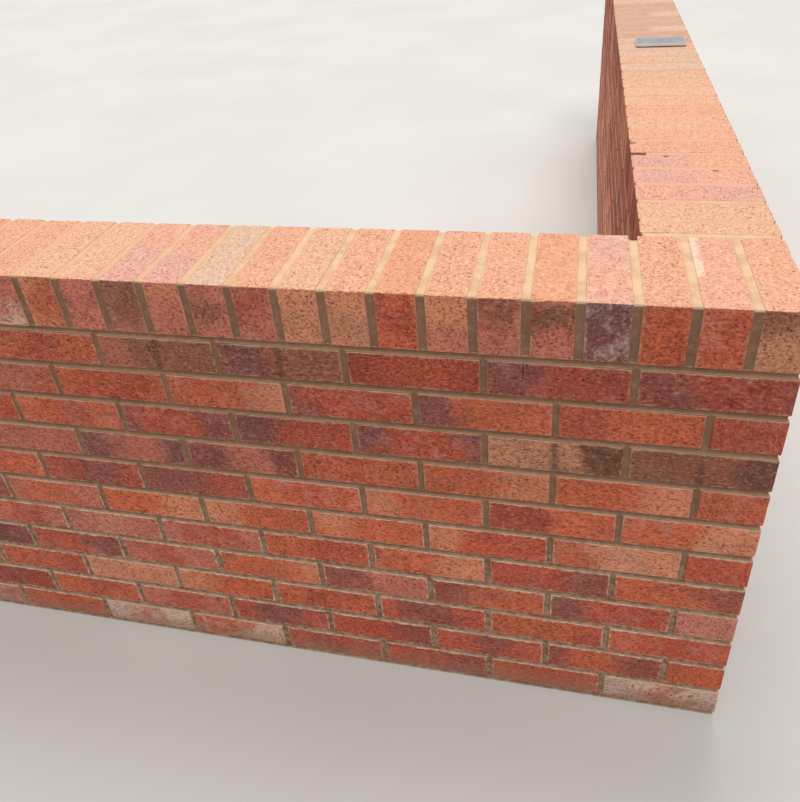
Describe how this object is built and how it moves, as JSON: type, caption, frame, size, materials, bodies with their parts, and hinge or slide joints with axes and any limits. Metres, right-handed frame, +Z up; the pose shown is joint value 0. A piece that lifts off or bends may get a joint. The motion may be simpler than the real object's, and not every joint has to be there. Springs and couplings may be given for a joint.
{
  "type": "brick garden wall",
  "caption": "Low one-brick garden wall that turns a square corner, in stretcher bond with recessed joints, capped by a coping of bricks on edge.",
  "frame": {"origin": "foot of the wall, where the centre lines of the two arms cross", "axes": "+Z up, the front arm runs along -X with its outer face looking -Y, the side arm runs along +Y"},
  "size_m": [2.24, 3.365, 0.9595],
  "materials": {
    "facing_brick": "matt, sanded, pitted fired clay with plum patches",
    "coping_brick": "matt fired clay, paler on the weathered top",
    "mortar": "sandy cement mortar, tooled hollow",
    "plate": "plain grey, honed"
  },
  "bodies": {
    "root": {"front_course_01": "facing_brick", "front_course_02": "facing_brick", "front_course_03": "facing_brick", "front_course_04": "facing_brick", "front_course_05": "facing_brick", "front_course_06": "facing_brick", "front_course_07": "facing_brick", "front_course_08": "facing_brick", "front_course_09": "facing_brick", "front_course_10": "facing_brick", "front_course_11": "facing_brick", "side_course_01": "facing_brick", "side_course_02": "facing_brick", "side_course_03": "facing_brick", "side_course_04": "facing_brick", "side_course_05": "facing_brick", "side_course_06": "facing_brick", "side_course_07": "facing_brick", "side_course_08": "facing_brick", "side_course_09": "facing_brick", "side_course_10": "facing_brick", "side_course_11": "facing_brick", "corner_coping_brick": "coping_brick", "front_coping_bay_1": "coping_brick", "front_coping_bay_2": "coping_brick", "cut_coping_brick": "coping_brick", "side_coping_bay_1": "coping_brick", "side_coping_bay_2": "coping_brick", "side_coping_bay_3": "coping_brick", "front_foot_bed": "mortar", "front_bed_joints": "mortar", "front_collar_joint": "mortar", "front_coping_bed": "mortar", "front_coping_joints": "mortar", "side_foot_bed": "mortar", "side_bed_joints": "mortar", "side_collar_joint": "mortar", "side_coping_bed": "mortar", "side_coping_joints": "mortar", "wall_plate": "plate"}
  },
  "joints": []
}
